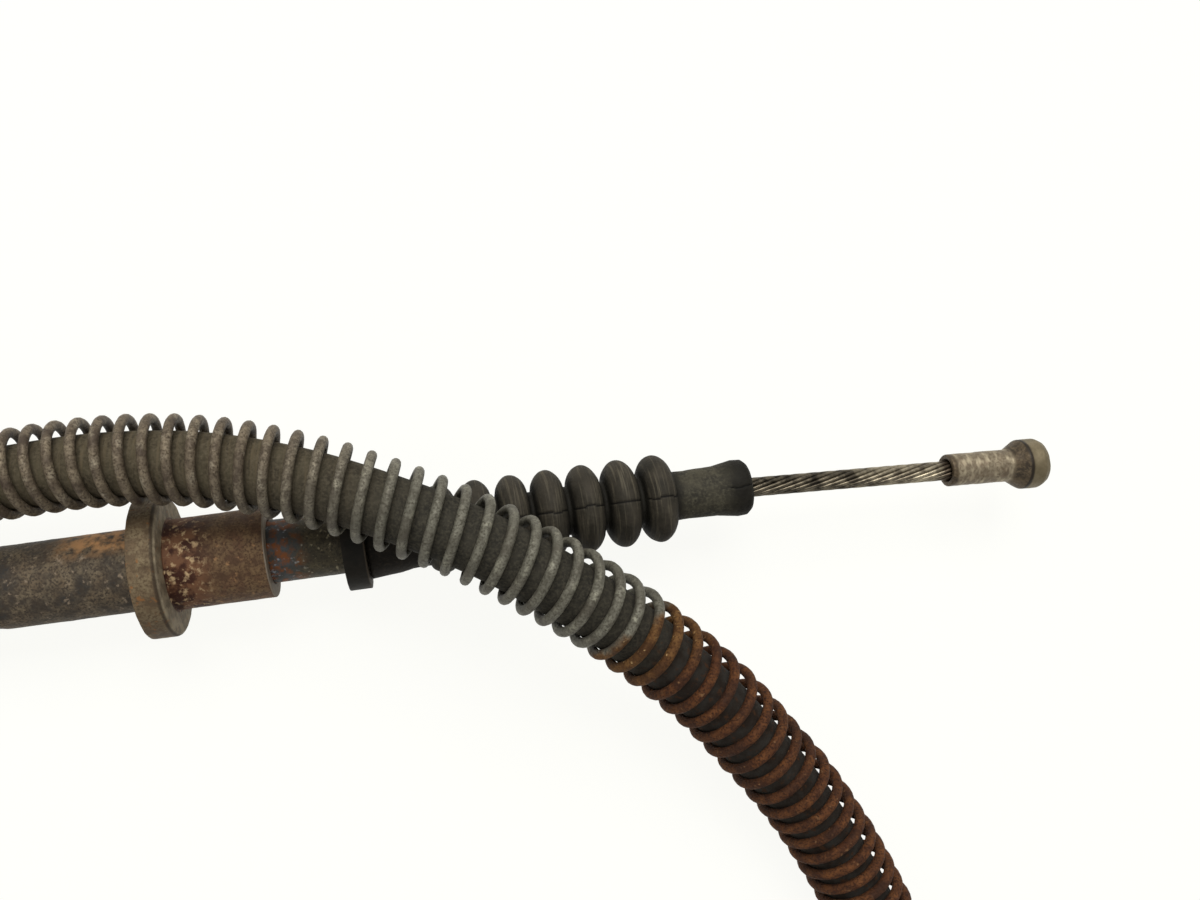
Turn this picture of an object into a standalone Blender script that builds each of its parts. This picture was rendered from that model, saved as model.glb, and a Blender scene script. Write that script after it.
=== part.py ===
"""Push-pull control cable: a sheathed conduit with a crimped end fitting, a rubber
bellows and a nippled strand at each end, and a wound wire guard over its middle.

Metres, +Z up.  The cable lies on the plane z = 0: end A and its bellows lie straight,
the conduit behind it is wound in a flat coil, comes back in a long low hump over the
bellows of end A, and bends round into end B.
"""
import math

import bpy
from mathutils import Matrix, Vector

MM = 0.001
GAP = 0.3 * MM                      # between pieces that touch on the real cable
LEAD_GAP = 0.6 * MM                 # lead to coil, which meet at a slight angle

# ---------------------------------------------------------------- driving dimensions
CONDUIT_R = 4.5 * MM                # rubber sheath over the armour
STRAND_R = 1.5 * MM                 # 1x19 steel strand
LINER_R = 2.8 * MM                  # plastic liner that the strand slides in
LINER_BORE_R = 1.95 * MM

GUARD_OUTER_R = 6.55 * MM           # wound wire guard, measured over the wire
GUARD_WIRE_R = 0.75 * MM
GUARD_POINTS = 8                    # points in one turn of the guard
GUARD_PITCH = [                     # from its start to its end, at even distances
    pitch * MM for pitch in (3.57, 3.29, 3.33, 3.44, 3.20, 3.91, 3.53, 2.98, 2.87, 2.99)
]

FERRULE_TAIL = -40.0 * MM           # along the end's axis, from the collar's seat face
CRIMP_END = -26.4 * MM
CRIMP_GROOVES = (-36.9 * MM, -31.9 * MM)
CRIMP_R = 6.2 * MM
TUBE_R = 6.4 * MM
COLLAR_BACK = -4.3 * MM
COLLAR_R = 10.9 * MM
BARREL_END = 15.1 * MM
BARREL_R = 7.0 * MM

GUIDE_R = 4.85 * MM                 # guide tube, pressed into the barrel
GUIDE_BORE_R = 3.2 * MM
GUIDE_END = 34.0 * MM

RING_START = 26.35 * MM             # stop ring on the guide tube
RING_END = 29.75 * MM
RING_R = 7.6 * MM

BELLOWS_FIRST = 41.9 * MM           # middle of the first convolution
BELLOWS_PITCH = 5.52 * MM
BELLOWS_COUNT = 7
CROWN_R = 6.75 * MM
VALLEY_R = 3.9 * MM
BELLOWS_WALL = 1.2 * MM
NOSE_START = 78.3 * MM
NOSE_END = 89.8 * MM
NOSE_R = 3.75 * MM
NOSE_TIP_R = 4.3 * MM
NOSE_BORE_R = 1.9 * MM

STRAND_INNER_END = -20.0 * MM       # where the modelled strand stops inside the liner
NIPPLE_START = 120.0 * MM
SHANK_END = 129.1 * MM
HEAD_START = 131.1 * MM
NIPPLE_END = 134.7 * MM
SHANK_R = 2.46 * MM
HEAD_R = 3.8 * MM
NIPPLE_BORE_R = 1.8 * MM
NIPPLE_BORE_DEPTH = 8.0 * MM

# ------------------------------------------------------------ where the pieces lie
# Places in the plan are written from a point beside end A's bellows; ORIGIN, read there,
# is the middle of the two end fittings' box and becomes the part's origin.
ORIGIN = Vector((-58.09, -78.55, 0.0)) * MM

# Each end's collar rests on the floor, so its axis is a collar's radius above it.
END_A_SEAT = Vector((-65.44, -17.65, 10.9)) * MM - ORIGIN
END_A_HEADING = math.radians(7.7)
END_A_BEND = math.radians(-2.8)                 # the bare strand droops to one side
END_B_SEAT = Vector((-50.0, -148.0, 10.9)) * MM - ORIGIN
END_B_HEADING = math.radians(180.0)
END_B_BEND = 0.0
BEND_START = 88.0 * MM                          # where the strand leaves the nose

COIL_CENTRE = Vector((-199.0, -72.6, 0.0)) * MM - ORIGIN
COIL_R = 50.0 * MM
COIL_TURNS = 1.75
COIL_POINTS = 24                                # points in one loop
COIL_LAYER = 2.0 * CONDUIT_R + 0.6 * MM         # height from one layer to the next
CLIMB_FROM, CLIMB_TO = 280.0, 350.0             # degrees of each turn that climb a layer

# The lead from end A to the coil, and the run from the coil to end B: route points.
LEAD_ROUTE = [
    (-125.4, -27.4, 9.9), (-135.0, -33.5, 8.2), (-142.6, -42.2, 6.4), (-147.4, -52.6, 5.1),
]
RUN_ROUTE = [
    (-166.5, -21.2, 14.8), (-150.0, -18.0, 15.9), (-128.0, -12.7, 17.4), (-107.0, -7.9, 19.0),
    (-86.0, -4.1, 20.6), (-72.5, -2.4, 21.8), (-58.9, -2.4, 22.9), (-45.0, -4.6, 23.9),
    (-31.9, -8.5, 24.6), (-19.3, -13.4, 24.8), (-7.9, -19.5, 23.1), (2.0, -26.0, 19.9),
    (14.6, -36.0, 15.6), (22.9, -44.6, 12.9), (30.8, -53.6, 10.5), (38.8, -65.4, 8.2),
    (44.6, -77.0, 7.0), (47.7, -88.6, 6.9), (49.0, -101.0, 6.9), (46.7, -115.5, 6.9),
    (40.0, -128.6, 7.1), (29.6, -139.0, 7.9), (16.5, -145.7, 9.3),
]
GUARD_START = 82.4 * MM             # along the run, from the coil's end
GUARD_LENGTH = 226.0 * MM
RUN_STEP = 9.0 * MM                 # spacing of the points on the conduit

# ------------------------------------------------------------------------- materials
RUSTED_STEEL = ("rusted_steel", (0.165, 0.135, 0.105), 0.75, 0.6)
DARK_STEEL = ("dark_steel", (0.10, 0.095, 0.085), 0.6, 0.7)
GREASED_STEEL = ("greased_steel", (0.20, 0.18, 0.16), 0.4, 0.9)
BLACK_RING = ("black_ring", (0.02, 0.02, 0.02), 0.6, 0.0)
WEATHERED_RUBBER = ("weathered_rubber", (0.035, 0.030, 0.026), 0.8, 0.0)
SHEATH_RUBBER = ("sheath_rubber", (0.045, 0.042, 0.034), 0.8, 0.0)
LINER_PLASTIC = ("liner_plastic", (0.55, 0.52, 0.45), 0.45, 0.0)
ARMOUR_WIRE = ("armour_wire", (0.28, 0.27, 0.25), 0.5, 0.9)


def clear_scene():
    for old in list(bpy.data.objects):
        bpy.data.objects.remove(old, do_unlink=True)


def new_collection(name):
    collection = bpy.data.collections.new(name)
    bpy.context.scene.collection.children.link(collection)
    return collection


def give_material(obj, finish):
    """Each object has a material of its own, from one named finish."""
    name, colour, roughness, metallic = finish
    material = bpy.data.materials.new(f"{name}_{obj.name}")
    material.use_nodes = True
    shader = material.node_tree.nodes["Principled BSDF"]
    shader.inputs["Base Color"].default_value = (*colour, 1.0)
    shader.inputs["Roughness"].default_value = roughness
    shader.inputs["Metallic"].default_value = metallic
    obj.data.materials.append(material)


def place_empty(name, collection, location, heading):
    """An empty whose +Z looks along an end's axis, level with the floor."""
    empty = bpy.data.objects.new(name, None)
    empty.location = location
    empty.rotation_euler = (0.0, math.radians(90.0), heading)
    empty.empty_display_size = 0.02
    collection.objects.link(empty)
    return empty


# ------------------------------------------------------------------------ turned pieces
def turned(name, collection, parent, outer, inner, sides, finish):
    """A turned piece on its parent's Z axis.

    outer and inner are (along, radius) points from the tail to the tip.  The outer side
    is run from the tip down to the tail, then the bore, or the axis, back up.
    """
    outline = list(reversed(outer)) + list(inner)
    mesh = bpy.data.meshes.new(name)
    vertices = [(radius, 0.0, along) for along, radius in outline]
    edges = [(i, (i + 1) % len(outline)) for i in range(len(outline))]
    mesh.from_pydata(vertices, edges, [])
    piece = bpy.data.objects.new(name, mesh)
    collection.objects.link(piece)
    piece.parent = parent
    screw = piece.modifiers.new("turn", "SCREW")
    screw.angle = math.radians(360.0)
    screw.steps = sides
    screw.render_steps = sides
    screw.use_merge_vertices = True
    screw.merge_threshold = 0.00001
    screw.use_smooth_shade = False
    give_material(piece, finish)
    return piece


def ferrule_outline():
    """Crimped tail, tube, collar and barrel, in one turned steel piece."""
    groove = 0.35 * MM
    outer = [(FERRULE_TAIL, CRIMP_R - 0.4 * MM), (FERRULE_TAIL + 0.6 * MM, CRIMP_R)]
    for crimp in CRIMP_GROOVES:
        outer += [
            (crimp - 1.3 * MM, CRIMP_R), (crimp - 0.7 * MM, CRIMP_R - groove),
            (crimp + 0.7 * MM, CRIMP_R - groove), (crimp + 1.3 * MM, CRIMP_R),
        ]
    outer += [
        (CRIMP_END - 0.7 * MM, CRIMP_R), (CRIMP_END, TUBE_R), (COLLAR_BACK, TUBE_R),
        (COLLAR_BACK, COLLAR_R - 0.5 * MM), (COLLAR_BACK + 0.5 * MM, COLLAR_R),
        (-0.9 * MM, COLLAR_R), (0.0, COLLAR_R - 0.7 * MM), (0.0, BARREL_R),
        (BARREL_END - 0.5 * MM, BARREL_R), (BARREL_END, BARREL_R - 0.4 * MM),
    ]
    armour_bore = CONDUIT_R + 0.15 * MM + GAP
    socket_floor = 3.7 * MM
    inner = [
        (FERRULE_TAIL, armour_bore), (COLLAR_BACK - 0.6 * MM, armour_bore),
        (COLLAR_BACK - 0.6 * MM, LINER_R + GAP), (socket_floor, LINER_R + GAP),
        (socket_floor, GUIDE_R + GAP), (BARREL_END, GUIDE_R + GAP),
    ]
    return outer, inner


def bellows_outline():
    """Neck over the guide tube, seven round convolutions with a hollow wall, and a nose."""
    neck_start = RING_END + GAP
    neck_step = GUIDE_END + 0.6 * MM
    first_valley = BELLOWS_FIRST - BELLOWS_PITCH / 2
    outer = [
        (neck_start, 6.2 * MM), (neck_step, 5.8 * MM), (first_valley - 2.0 * MM, 5.45 * MM),
        (first_valley, 5.5 * MM),
    ]
    inner = [
        (neck_start, GUIDE_R + GAP), (neck_step, GUIDE_R + GAP),
        (neck_step + 0.8 * MM, 4.3 * MM), (first_valley, 4.3 * MM),
    ]
    for index in range(BELLOWS_COUNT):
        middle = BELLOWS_FIRST + index * BELLOWS_PITCH
        crown_radii = [
            (-2.05 * MM, 5.6 * MM), (-0.95 * MM, CROWN_R),
            (0.95 * MM, CROWN_R), (2.05 * MM, 5.6 * MM),
        ]
        outer += [(middle + along, radius) for along, radius in crown_radii]
        inner += [
            (middle - 0.9 * MM, CROWN_R - BELLOWS_WALL), (middle + 0.9 * MM, CROWN_R - BELLOWS_WALL),
        ]
        if index < BELLOWS_COUNT - 1:
            outer.append((middle + BELLOWS_PITCH / 2, VALLEY_R))
            inner.append((middle + BELLOWS_PITCH / 2, VALLEY_R - BELLOWS_WALL))
    outer += [
        (NOSE_START, NOSE_R), (NOSE_START + 5.5 * MM, NOSE_R + 0.1 * MM),
        (NOSE_END - 1.6 * MM, NOSE_TIP_R), (NOSE_END - 0.5 * MM, NOSE_TIP_R - 0.1 * MM),
        (NOSE_END, NOSE_TIP_R - 0.7 * MM),
    ]
    inner += [(NOSE_START, NOSE_BORE_R), (NOSE_END, NOSE_BORE_R)]
    return outer, inner


def nipple_outline():
    """Die-cast nipple: round shank, conical shoulder and barrel head, bored for the strand."""
    outer = [
        (NIPPLE_START, SHANK_R - 0.35 * MM), (NIPPLE_START + 0.4 * MM, SHANK_R),
        (SHANK_END, SHANK_R), (HEAD_START, HEAD_R - 0.1 * MM), (HEAD_START + 0.2 * MM, HEAD_R),
        (NIPPLE_END - 1.3 * MM, HEAD_R), (NIPPLE_END - 0.5 * MM, HEAD_R - 0.35 * MM),
        (NIPPLE_END, HEAD_R - 1.1 * MM),
    ]
    bore_end = NIPPLE_START + NIPPLE_BORE_DEPTH
    inner = [
        (NIPPLE_START, NIPPLE_BORE_R), (bore_end, NIPPLE_BORE_R), (bore_end, 0.0),
        (NIPPLE_END, 0.0),
    ]
    return outer, inner


# ----------------------------------------------------------------- cords and wound wire
def tube(name, collection, parent, points, radius, resolution, finish):
    """A round cord or wire along a list of points, with filled ends."""
    curve = bpy.data.curves.new(name, "CURVE")
    curve.dimensions = "3D"
    curve.bevel_depth = radius
    curve.bevel_resolution = resolution
    curve.use_fill_caps = True
    spline = curve.splines.new("POLY")
    spline.points.add(len(points) - 1)
    for slot, point in zip(spline.points, points):
        slot.co = (*point, 1.0)
    cord = bpy.data.objects.new(name, curve)
    collection.objects.link(cord)
    cord.parent = parent
    give_material(cord, finish)
    return cord


def smooth_route(points, samples=24):
    """A dense smooth curve through the points; the two end points only steer it."""
    dense = []
    for i in range(1, len(points) - 2):
        before, start, end, after = points[i - 1:i + 3]
        for k in range(samples):
            t = k / samples
            dense.append(0.5 * (
                2.0 * start
                + (end - before) * t
                + (2.0 * before - 5.0 * start + 4.0 * end - after) * t ** 2
                + (3.0 * start - before - 3.0 * end + after) * t ** 3
            ))
    dense.append(points[-2].copy())
    return dense


def lengths_along(points):
    """The distance of each point from the first, along the line."""
    total = [0.0]
    for start, end in zip(points, points[1:]):
        total.append(total[-1] + (end - start).length)
    return total


def point_at(points, lengths, distance):
    """The place and direction at a distance along a dense line."""
    low, high = 0, len(lengths) - 1
    while high - low > 1:
        middle = (low + high) // 2
        if lengths[middle] <= distance:
            low = middle
        else:
            high = middle
    span = lengths[high] - lengths[low]
    share = (distance - lengths[low]) / span
    direction = (points[high] - points[low]).normalized()
    return points[low].lerp(points[high], share), direction


def even_points(points, start, end, step):
    """Points at an even spacing between two distances along a dense line."""
    lengths = lengths_along(points)
    count = max(2, round((end - start) / step) + 1)
    return [
        point_at(points, lengths, start + (end - start) * i / (count - 1))[0]
        for i in range(count)
    ]


def climb(degrees):
    """How many layers the coil has climbed after so many degrees."""
    layer, within = divmod(degrees, 360.0)
    t = min(1.0, max(0.0, (within - CLIMB_FROM) / (CLIMB_TO - CLIMB_FROM)))
    return layer + t * t * (3.0 - 2.0 * t)


def coil_point(degrees):
    """A point of the coil, which starts at its +X side and winds clockwise, seen from above."""
    angle = math.radians(-degrees)
    height = CONDUIT_R + COIL_LAYER * climb(degrees)
    return COIL_CENTRE + Vector((COIL_R * math.cos(angle), COIL_R * math.sin(angle), height))


def coil_line():
    """The loops of the coil, with a straight stretch of one diameter at each end."""
    count = round(COIL_POINTS * COIL_TURNS)
    loops = [coil_point(360.0 * COIL_TURNS * i / count) for i in range(count + 1)]
    nudge = 0.5
    last = 360.0 * COIL_TURNS
    leaving = (coil_point(last) - coil_point(last - nudge)).normalized()
    straight = 2.0 * CONDUIT_R
    entry = loops[0] + Vector((0.0, straight, 0.0))
    return [entry] + loops + [loops[-1] + leaving * straight]


def pitch_at(share):
    """The guard's pitch at a share of its length, read between its named values."""
    place = share * (len(GUARD_PITCH) - 1)
    index = min(int(place), len(GUARD_PITCH) - 2)
    part = place - index
    return GUARD_PITCH[index] * (1.0 - part) + GUARD_PITCH[index + 1] * part


def guard_points(line, start, length):
    """A right-hand helix round a dense line, with its pitch from pitch_at."""
    lengths = lengths_along(line)
    mean_r = GUARD_OUTER_R - GUARD_WIRE_R
    flat_share = (1.0 + math.cos(math.pi / GUARD_POINTS)) / 2.0
    radius = mean_r / flat_share
    points = []
    turn, distance = 0.0, 0.0
    while distance < length:
        place, forward = point_at(line, lengths, start + distance)
        side = forward.cross(Vector((0.0, 0.0, 1.0))).normalized()
        up = forward.cross(side)
        angle = 2.0 * math.pi * turn
        points.append(place + radius * (math.cos(angle) * side + math.sin(angle) * up))
        distance += pitch_at(distance / length) / GUARD_POINTS
        turn += 1.0 / GUARD_POINTS
    return points


def least_gap(points, diameter, skip):
    """The least gap between a wound tube's turns, measured from segment to segment."""
    least = math.inf
    segments = list(zip(points, points[1:]))
    for i, (a, b) in enumerate(segments):
        for c, d in segments[i + skip:i + 3 * skip + COIL_POINTS * 2]:
            for k in range(5):
                p = a.lerp(b, k / 4)
                along = d - c
                t = min(1.0, max(0.0, (p - c).dot(along) / along.length_squared))
                least = min(least, (p - c.lerp(d, t)).length)
    return least - diameter


# ---------------------------------------------------------------------- end fittings
def strand_points(bend):
    """The strand's centre line in its end's frame: straight, then turned a little."""
    straight_end = BEND_START - 4.0 * MM
    nipple_seat = NIPPLE_START + NIPPLE_BORE_DEPTH - GAP
    points = [Vector((0.0, 0.0, STRAND_INNER_END)), Vector((0.0, 0.0, straight_end))]
    if bend:
        for t in (0.25, 0.5, 0.75):
            along = straight_end + 8.0 * MM * t
            points.append(Vector((0.0, 8.0 * MM * math.tan(bend) * t * t / 2.0, along)))
    for along in (BEND_START + 4.0 * MM, nipple_seat):
        reach = along - BEND_START
        points.append(Vector((0.0, reach * math.sin(bend), BEND_START + reach * math.cos(bend))))
    return points


def build_end(letter, collection, seat, heading, bend):
    """One end of the cable: everything from the crimped ferrule to the nipple."""
    frame = place_empty(f"end_{letter}_frame", collection, seat, heading)
    slide = place_empty(f"strand_{letter}_slide", collection, seat, heading)
    turned(f"ferrule_{letter}", collection, frame, *ferrule_outline(), 24, RUSTED_STEEL)
    armour_outer = [
        (FERRULE_TAIL + GAP, CONDUIT_R + 0.15 * MM), (COLLAR_BACK - 0.9 * MM, CONDUIT_R + 0.15 * MM),
    ]
    armour_inner = [(along, LINER_R + GAP) for along, _ in armour_outer]
    turned(f"armour_{letter}", collection, frame, armour_outer, armour_inner, 16, ARMOUR_WIRE)
    liner_outer = [(FERRULE_TAIL + 2.0 * MM, LINER_R), (GUIDE_END + 2.0 * MM, LINER_R)]
    liner_inner = [(along, LINER_BORE_R) for along, _ in liner_outer]
    turned(f"liner_{letter}", collection, frame, liner_outer, liner_inner, 16, LINER_PLASTIC)
    guide_outer = [
        (4.0 * MM, GUIDE_R), (GUIDE_END - 0.6 * MM, GUIDE_R), (GUIDE_END, GUIDE_R - 0.5 * MM),
    ]
    guide_inner = [(4.0 * MM, GUIDE_BORE_R), (GUIDE_END, GUIDE_BORE_R)]
    turned(f"guide_tube_{letter}", collection, frame, guide_outer, guide_inner, 20, DARK_STEEL)
    ring_outer = [(RING_START, RING_R), (RING_END, RING_R)]
    ring_inner = [(along, GUIDE_R + GAP) for along, _ in ring_outer]
    turned(f"boot_ring_{letter}", collection, frame, ring_outer, ring_inner, 24, BLACK_RING)
    turned(f"boot_{letter}", collection, frame, *bellows_outline(), 18, WEATHERED_RUBBER)
    tube(
        f"strand_{letter}", collection, slide, strand_points(bend), STRAND_R, 2, GREASED_STEEL,
    )
    nipple = turned(f"nipple_{letter}", collection, slide, *nipple_outline(), 20, DARK_STEEL)
    turn_about_bend = (
        Matrix.Translation((0.0, 0.0, BEND_START))
        @ Matrix.Rotation(-bend, 4, "X")
        @ Matrix.Translation((0.0, 0.0, -BEND_START))
    )
    nipple.matrix_local = turn_about_bend


def end_point(seat, heading, along):
    """A point on an end's axis, in the part's frame."""
    return seat + Vector((math.cos(heading), math.sin(heading), 0.0)) * along


def build_conduit(collection):
    """The sheathed conduit in three stretches, and the wire guard over the last."""
    coil = coil_line()
    into_a = [end_point(END_A_SEAT, END_A_HEADING, FERRULE_TAIL + x * MM) for x in (9.0, -0.3, -9.3)]
    into_b = [end_point(END_B_SEAT, END_B_HEADING, FERRULE_TAIL + x * MM) for x in (9.0, -0.3, -9.3)]
    lead_points = [Vector(p) * MM - ORIGIN for p in LEAD_ROUTE]
    run_points = [Vector(p) * MM - ORIGIN for p in RUN_ROUTE]
    after_coil = coil[-1] + (coil[-1] - coil[-2])
    lead = smooth_route(into_a + lead_points + coil[:2])
    run = smooth_route(coil[-2:] + [after_coil] + run_points + list(reversed(into_b)))
    lead_length = lengths_along(lead)[-1]
    run_length = lengths_along(run)[-1]
    coil_length = lengths_along(coil)[-1]
    lead_tube = even_points(lead, 0.0, lead_length - LEAD_GAP, RUN_STEP)
    run_tube = even_points(run, GAP, run_length, RUN_STEP)
    tube("conduit_lead", collection, None, lead_tube, CONDUIT_R, 2, SHEATH_RUBBER)
    tube("conduit_coil", collection, None, coil, CONDUIT_R, 1, SHEATH_RUBBER)
    tube("conduit_run", collection, None, run_tube, CONDUIT_R, 2, SHEATH_RUBBER)
    guard = guard_points(run, GUARD_START, GUARD_LENGTH)
    tube("guard_spring", collection, None, guard, GUARD_WIRE_R, 1, RUSTED_STEEL)
    print("conduit length, mm:", round((lead_length + coil_length + run_length) / MM, 1))
    print("lead, coil, run, mm:", [round(x / MM, 1) for x in (lead_length, coil_length, run_length)])
    print("guard turns:", round(len(guard) / GUARD_POINTS, 1))
    print("coil's least gap, mm:", round(least_gap(coil, 2 * CONDUIT_R, 12) / MM, 2))
    print("guard's least gap, mm:", round(least_gap(guard, 2 * GUARD_WIRE_R, 5) / MM, 2))


clear_scene()
cable = new_collection("control_cable")
build_end("a", cable, END_A_SEAT, END_A_HEADING, END_A_BEND)
build_end("b", cable, END_B_SEAT, END_B_HEADING, END_B_BEND)
build_conduit(cable)
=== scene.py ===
"""Looks of the push-pull control cable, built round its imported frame.

The sections follow the cable as it is put together: sheath, wire guard, armour and liner,
ferrules, guide tubes, stop rings, strands, bellows and nipples, and then the stage and
the camera.
"""
import math

import bmesh
import bpy
from mathutils import Matrix, Vector, kdtree, noise


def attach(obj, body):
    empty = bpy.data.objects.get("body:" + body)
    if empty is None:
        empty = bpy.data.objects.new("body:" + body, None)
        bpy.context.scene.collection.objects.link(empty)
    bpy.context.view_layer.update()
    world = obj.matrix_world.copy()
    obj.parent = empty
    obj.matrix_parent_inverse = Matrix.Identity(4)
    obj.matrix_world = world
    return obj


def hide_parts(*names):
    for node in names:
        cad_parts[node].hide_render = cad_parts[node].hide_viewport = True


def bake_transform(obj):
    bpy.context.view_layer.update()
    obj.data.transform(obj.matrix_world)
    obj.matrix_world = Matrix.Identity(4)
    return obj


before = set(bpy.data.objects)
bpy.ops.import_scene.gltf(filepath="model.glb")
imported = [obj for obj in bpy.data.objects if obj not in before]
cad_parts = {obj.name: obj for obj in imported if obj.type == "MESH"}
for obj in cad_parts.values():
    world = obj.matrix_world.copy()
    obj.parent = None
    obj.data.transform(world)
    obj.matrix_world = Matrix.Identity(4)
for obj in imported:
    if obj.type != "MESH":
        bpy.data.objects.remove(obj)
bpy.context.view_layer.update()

# ------------------------------------------------------------------------ 1. the sheath
# The conduit is a wound steel armour in an extruded rubber sheath, 9 mm over all, and
# 1.01 m long between the crimps.  It is stiff: it comes out of the coil in one long low
# hump, crosses end A's bellows and comes down to the table on its way to end B.
MM = 0.001
SHEATH_R = 4.66 * MM
SHEATH_SIDES = 32
SHEATH_STEP = 1.0 * MM              # spacing of the mesh rings along the sheath

ORIGIN = Vector((-58.09, -78.55, 0.0)) * MM
END_A_SEAT = Vector((-65.44, -17.65, 10.9)) * MM - ORIGIN
END_A_HEADING = math.radians(7.7)
END_B_SEAT = Vector((-50.0, -148.0, 10.9)) * MM - ORIGIN
END_B_HEADING = math.radians(180.0)
FERRULE_TAIL = -40.0 * MM
SHEATH_IN_CRIMP = 0.6               # millimetres of sheath that the crimp's mouth hides

COIL_CENTRE = Vector((-199.0, -72.6, 0.0)) * MM - ORIGIN
COIL_R = 50.0 * MM
COIL_TURNS = 1.75
COIL_STEPS = 72                     # points in one loop
COIL_LAYER = 9.6 * MM
CLIMB_FROM, CLIMB_TO = 280.0, 350.0
LEAD_ROUTE = [
    (-125.4, -27.4, 9.9), (-135.0, -33.5, 8.2), (-142.6, -42.2, 6.4), (-147.4, -52.6, 5.1),
]
RUN_ROUTE = [
    (-166.5, -21.2, 14.8), (-150.0, -18.0, 15.9), (-128.0, -12.7, 17.4), (-107.0, -7.9, 19.0),
    (-86.0, -4.1, 20.6), (-72.5, -2.4, 21.8), (-58.9, -2.4, 22.9), (-45.0, -4.6, 23.9),
    (-31.9, -8.5, 24.6), (-19.3, -13.4, 24.8), (-7.9, -19.5, 23.1), (2.0, -26.0, 19.9),
    (14.6, -36.0, 15.6), (22.9, -44.6, 12.9), (30.8, -53.6, 10.5), (38.8, -65.4, 8.2),
    (44.6, -77.0, 7.0), (47.7, -88.6, 6.9), (49.0, -101.0, 6.9), (46.7, -115.5, 6.9),
    (40.0, -128.6, 7.1), (29.6, -139.0, 7.9), (16.5, -145.7, 9.3),
]


def smooth_route(points, samples=24):
    """A dense smooth curve through the points; the two end points only steer it."""
    dense = []
    for i in range(1, len(points) - 2):
        before, start, end, after = points[i - 1:i + 3]
        for k in range(samples):
            t = k / samples
            dense.append(0.5 * (
                2.0 * start
                + (end - before) * t
                + (2.0 * before - 5.0 * start + 4.0 * end - after) * t ** 2
                + (3.0 * start - before - 3.0 * end + after) * t ** 3
            ))
    dense.append(points[-2].copy())
    return dense


def lengths_along(points):
    total = [0.0]
    for start, end in zip(points, points[1:]):
        total.append(total[-1] + (end - start).length)
    return total


def point_at(points, lengths, distance):
    """The place and direction at a distance along a dense line."""
    low, high = 0, len(lengths) - 1
    while high - low > 1:
        middle = (low + high) // 2
        if lengths[middle] <= distance:
            low = middle
        else:
            high = middle
    share = (distance - lengths[low]) / (lengths[high] - lengths[low])
    direction = (points[high] - points[low]).normalized()
    return points[low].lerp(points[high], share), direction


def even_points(points, step):
    lengths = lengths_along(points)
    count = round(lengths[-1] / step) + 1
    return [point_at(points, lengths, lengths[-1] * i / (count - 1))[0] for i in range(count)]


def coil_point(degrees):
    """A point of the coil, which winds clockwise, seen from above, and climbs on itself."""
    layer, within = divmod(degrees, 360.0)
    t = min(1.0, max(0.0, (within - CLIMB_FROM) / (CLIMB_TO - CLIMB_FROM)))
    height = SHEATH_R + COIL_LAYER * (layer + t * t * (3.0 - 2.0 * t))
    angle = math.radians(-degrees)
    return COIL_CENTRE + Vector((COIL_R * math.cos(angle), COIL_R * math.sin(angle), height))


def on_end(seat, heading, along):
    return seat + Vector((math.cos(heading), math.sin(heading), 0.0)) * along


def cord_mesh(name, points, radius, sides):
    """A round cord or wire along the points, as a closed mesh with welded end caps."""
    curve = bpy.data.curves.new(name, "CURVE")
    curve.dimensions = "3D"
    curve.bevel_depth = radius
    curve.bevel_resolution = sides // 2 - 2
    curve.use_fill_caps = True
    spline = curve.splines.new("POLY")
    spline.points.add(len(points) - 1)
    for slot, point in zip(spline.points, points):
        slot.co = (*point, 1.0)
    guide = bpy.data.objects.new(name + "_guide", curve)
    bpy.context.scene.collection.objects.link(guide)
    bpy.context.view_layer.update()
    evaluated = guide.evaluated_get(bpy.context.evaluated_depsgraph_get())
    mesh = bpy.data.meshes.new_from_object(evaluated)
    bpy.data.objects.remove(guide)
    bpy.data.curves.remove(curve)
    shape = bmesh.new()
    shape.from_mesh(mesh)
    bmesh.ops.remove_doubles(shape, verts=shape.verts, dist=0.00001)
    bmesh.ops.recalc_face_normals(shape, faces=shape.faces)
    shape.to_mesh(mesh)
    shape.free()
    return mesh


def new_piece(name, mesh, material, slot, body, *nodes):
    """Puts a finished mesh in the scene, standing for CAD nodes and riding on any body."""
    mesh.name = name
    mesh.materials.clear()
    mesh.materials.append(material)
    mesh.shade_smooth()
    piece = bpy.data.objects.new(name, mesh)
    bpy.context.scene.collection.objects.link(piece)
    if body:
        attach(piece, body)
    if nodes:
        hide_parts(*nodes)
    return piece


def hex_colour(code):
    """An sRGB hex colour as the linear colour that a shader takes."""
    values = [int(code[i:i + 2], 16) / 255.0 for i in (1, 3, 5)]
    linear = [v / 12.92 if v <= 0.04045 else ((v + 0.055) / 1.055) ** 2.4 for v in values]
    return (*linear, 1.0)


def add(tree, kind, links=None, **settings):
    """Adds a node with its settings; links are input values or sockets to join to it."""
    made = tree.nodes.new(kind)
    for key, value in settings.items():
        setattr(made, key, value)
    for slot, value in (links or {}).items():
        if isinstance(value, bpy.types.NodeSocket):
            tree.links.new(value, made.inputs[slot])
        else:
            made.inputs[slot].default_value = value
    return made


def new_finish(name, metallic, roughness, specular):
    """A material with one Principled shader, and its tree and shader."""
    material = bpy.data.materials.new(name)
    material.use_nodes = True
    tree = material.node_tree
    shader = tree.nodes["Principled BSDF"]
    shader.inputs["Metallic"].default_value = metallic
    shader.inputs["Roughness"].default_value = roughness
    shader.inputs["Specular IOR Level"].default_value = specular
    return material, tree, shader


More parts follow.
